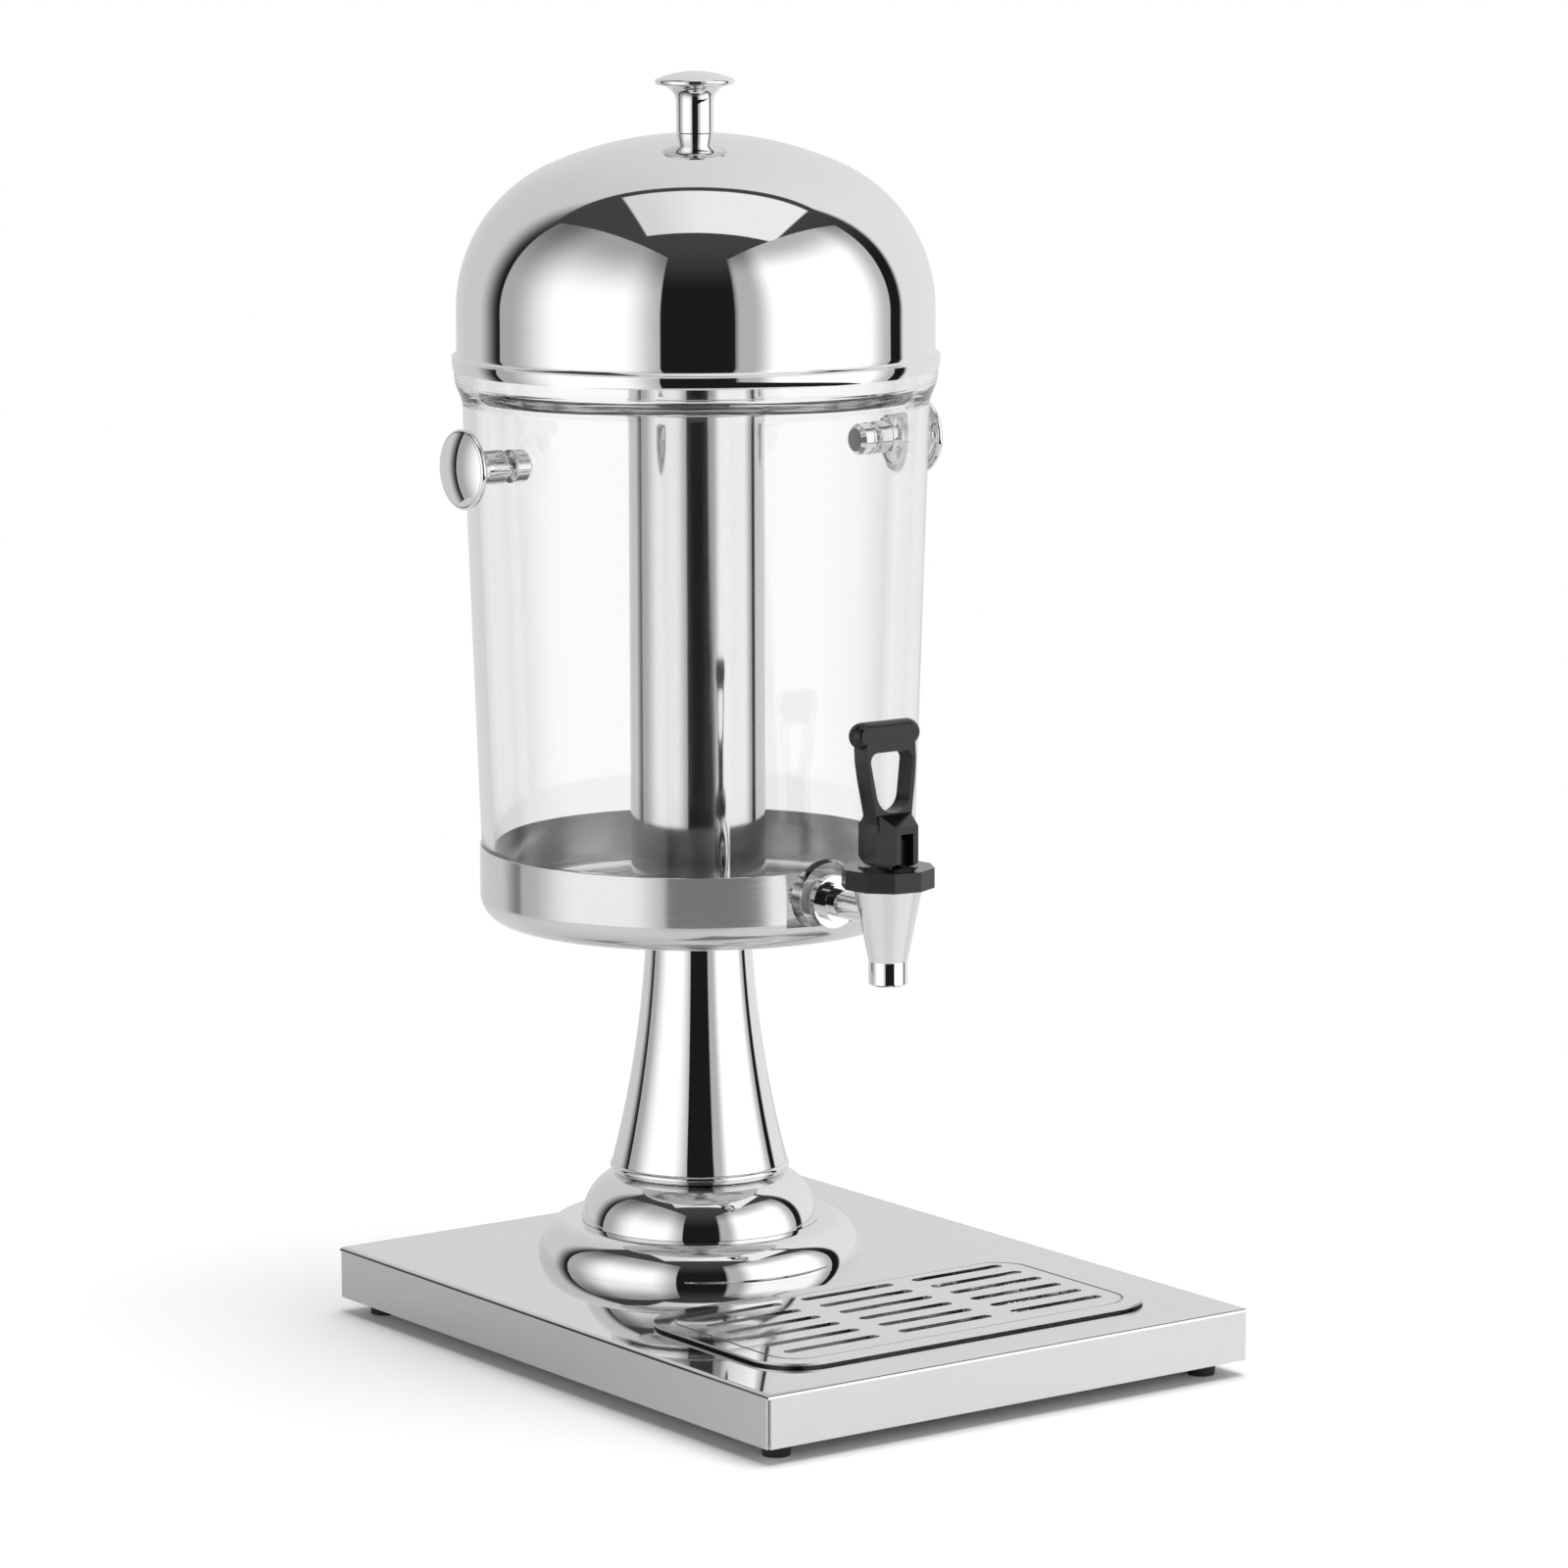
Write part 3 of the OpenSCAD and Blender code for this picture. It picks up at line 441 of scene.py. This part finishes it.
def place_camera():
    """The photographer's view: from the front left, a little above, with a long lens."""
    base = middle("base_pan")
    level = Vector((-math.sin(YAW), math.cos(YAW), 0))
    forward = level * math.cos(PITCH) - UP * math.sin(PITCH)
    side = Vector((math.cos(YAW), math.sin(YAW), 0))
    above = side.cross(forward)
    right = math.cos(ROLL) * side + math.sin(ROLL) * above
    top = math.cos(ROLL) * above - math.sin(ROLL) * side
    data = bpy.data.cameras.new("camera")
    data.sensor_width = 36.0
    data.lens = 145.25
    data.clip_start = 0.1
    data.clip_end = 50.0
    camera = bpy.data.objects.new("camera", data)
    scene.collection.objects.link(camera)
    place = (Vector((base.x, base.y, 0)) + CAMERA_FROM_BASE) * MM
    camera.matrix_world = Matrix.Translation(place) @ Matrix((right, top, -forward)).transposed().to_4x4()
    scene.camera = camera


place_camera()


# ---------- Studio ----------

TO_RIGHT = (math.cos(YAW), math.sin(YAW), 0.0)
TO_FRONT = (math.sin(YAW), -math.cos(YAW), 0.0)
BOX_EDGE = 0.012
PANEL_EDGE = 0.01


def studio():
    """A white backdrop behind, two tall soft boxes in front with a dark gap between them, and a panel
    overhead under a dark ceiling. Angles are in degrees, turning right from the side of the camera."""
    world = bpy.data.worlds.new("studio")
    scene.world = world
    world.use_nodes = True
    net = Net(world.node_tree)
    out = net.add("ShaderNodeOutputWorld")
    background = net.add("ShaderNodeBackground")
    net.put(out.inputs[0], background.outputs[0])
    direction = net.add("ShaderNodeTexCoord").outputs["Generated"]
    x = net.dot(direction, TO_RIGHT)
    y = net.dot(direction, TO_FRONT)
    z = net.dot(direction, tuple(UP))
    turn = net.math("DEGREES", net.math("ARCTAN2", x, y))
    rise = net.math("DEGREES", net.math("ARCSINE", z))

    def inside(value, low, high, soft):
        up = net.step(value, low - soft, low + soft)
        return net.math("MULTIPLY", up, net.step(value, high + soft, high - soft))

    def soft_box(azimuth, half, high):
        """Mask of an upright box of light at that azimuth, in tangents of the angles from its middle."""
        a = math.radians(azimuth)
        ahead = [f * math.cos(a) + r * math.sin(a) for f, r in zip(TO_FRONT, TO_RIGHT)]
        across = [r * math.cos(a) - f * math.sin(a) for f, r in zip(TO_FRONT, TO_RIGHT)]
        near = net.math("MAXIMUM", net.dot(direction, ahead), 0.001)
        u = net.math("DIVIDE", net.dot(direction, across), near)
        v = net.math("DIVIDE", z, near)
        below_top = net.step(v, high + BOX_EDGE, high - BOX_EDGE)
        return net.math("MULTIPLY", inside(u, -half, half, BOX_EDGE), below_top)

    def glow(left_side, right_side, upward):
        """Brightness over a box. Each side is two angles and the brightness at each."""
        sides = net.math("MULTIPLY", net.step(turn, *left_side), net.step(turn, *right_side))
        return net.math("MULTIPLY", sides, net.step(rise, *upward))

    # the dark ceiling on the camera's side, and the backdrop with the ceiling's far edge over it
    ceiling = net.step(z, 0.35, 0.85, 0.012, 0.06)
    backdrop = net.step(x, -0.6, 0.6, 0.66, 0.86)
    up = net.math("MAXIMUM", z, 0.001)
    over_x = net.math("DIVIDE", x, up)
    over_y = net.math("DIVIDE", y, up)
    behind = net.math("MAXIMUM", net.step(turn, -108.0, -127.0), net.step(turn, 115.0, 119.0))
    roof = net.math("MULTIPLY", net.step(over_y, -0.36, -0.34), net.step(z, 0.0, 0.01))
    light = net.mix(net.math("MULTIPLY", behind, net.math("SUBTRACT", 1.0, roof)), ceiling, backdrop)

    # the panel overhead, brighter to the right
    wide = inside(over_x, -0.36, 0.66, PANEL_EDGE)
    deep = inside(over_y, -0.27, 0.45, PANEL_EDGE)
    over = net.math("MULTIPLY", wide, deep)
    light = net.mix(over, light, net.step(x, -0.3, 0.1, 0.76, 0.97))

    # the soft box on the left
    left_light = glow((-100.0, -66.0, 0.45, 1.2), (-36.0, -14.0, 1.0, 0.42), (12.0, 52.0, 1.0, 0.33))
    light = net.mix(soft_box(-61.5, 1.015, 1.455), light, left_light)

    # the soft box on the right, whose near edge slants away below the level
    right_light = glow((28.0, 42.0, 0.5, 1.3), (88.0, 106.0, 1.0, 0.42), (30.0, 50.0, 1.0, 0.4))
    slant = net.math("MULTIPLY", net.math("MINIMUM", net.math("ADD", rise, 6.5), 0.0), 4.0)
    kept = net.step(net.math("ADD", turn, slant), 18.0, 22.0)
    light = net.mix(net.math("MULTIPLY", soft_box(63.4, 0.97, 1.33), kept), light, right_light)

    # the backdrop itself is plain white, seen past the object or through the clear bowl
    path = net.add("ShaderNodeLightPath")
    bounces = net.math("ADD", path.outputs["Glossy Depth"], path.outputs["Diffuse Depth"])
    light = net.mix(net.math("GREATER_THAN", bounces, 0.5), 1.0, light)
    net.put(background.inputs["Color"], (1.0, 1.0, 1.0, 1.0))
    net.put(background.inputs["Strength"], light)


def floor_look():
    """White paper to the eye, fading into the backdrop at its rim. In the part's mirrors it is a greyer
    sheet with a sheen."""
    made = bpy.data.materials.new("floor")
    made.use_nodes = True
    net = Net(made.node_tree)

    def blend(factor, first, second):
        node = net.add("ShaderNodeMixShader")
        for socket, value in zip(node.inputs, (factor, first, second)):
            net.put(socket, value)
        return node.outputs[0]

    paper = net.add("ShaderNodeBsdfDiffuse")
    shades = [(SWING[0], (0.93, 0.93, 0.93)), (SWING[1], (0.95, 0.95, 0.95))]
    tone = net.ramp(net.noise((3.0, 3.0, 3.0)), shades)
    net.put(paper.inputs["Color"], tone)
    white = net.add("ShaderNodeEmission")
    distance = net.add("ShaderNodeVectorMath", operation="LENGTH")
    net.put(distance.inputs[0], net.add("ShaderNodeTexCoord").outputs["Object"])
    direct = blend(net.step(distance.outputs["Value"], 0.3, 0.8), paper.outputs[0], white.outputs[0])
    dull = net.add("ShaderNodeBsdfDiffuse")
    net.put(dull.inputs["Color"], (0.7, 0.7, 0.7, 1.0))
    sheen = net.add("ShaderNodeBsdfGlossy")
    net.put(sheen.inputs["Roughness"], 0.25)
    fresnel = net.add("ShaderNodeFresnel")
    net.put(fresnel.inputs["IOR"], 1.9)
    mirrored = blend(fresnel.outputs[0], dull.outputs[0], sheen.outputs[0])
    bounced = net.math("GREATER_THAN", net.add("ShaderNodeLightPath").outputs["Glossy Depth"], 0.5)
    out = net.add("ShaderNodeOutputMaterial")
    net.put(out.inputs["Surface"], blend(bounced, direct, mirrored))
    return made


def lay_floor():
    mesh = bpy.data.meshes.new("floor")
    build = bmesh.new()
    bmesh.ops.create_circle(build, cap_ends=True, segments=96, radius=0.9)
    build.to_mesh(mesh)
    build.free()
    mesh.materials.append(floor_look())
    floor = bpy.data.objects.new("floor", mesh)
    scene.collection.objects.link(floor)


def hang_lamp():
    """A broad lamp overhead, for the soft shadow. The soft boxes make the highlights."""
    data = bpy.data.lights.new("overhead", "AREA")
    data.shape = "DISK"
    data.size = 1.6
    data.energy = 34.0
    lamp = bpy.data.objects.new("overhead", data)
    scene.collection.objects.link(lamp)
    lamp.location = (0.25, -0.1, 2.2)
    aim = Vector((0, 0, 0.1)) - lamp.location
    lamp.rotation_euler = aim.to_track_quat("-Z", "Y").to_euler()
    lamp.visible_glossy = False
    lamp.visible_transmission = False


studio()
lay_floor()
hang_lamp()

scene.view_settings.view_transform = "Standard"
scene.cycles.use_denoising = True
scene.cycles.max_bounces = 24
scene.cycles.transmission_bounces = 24
scene.cycles.glossy_bounces = 10
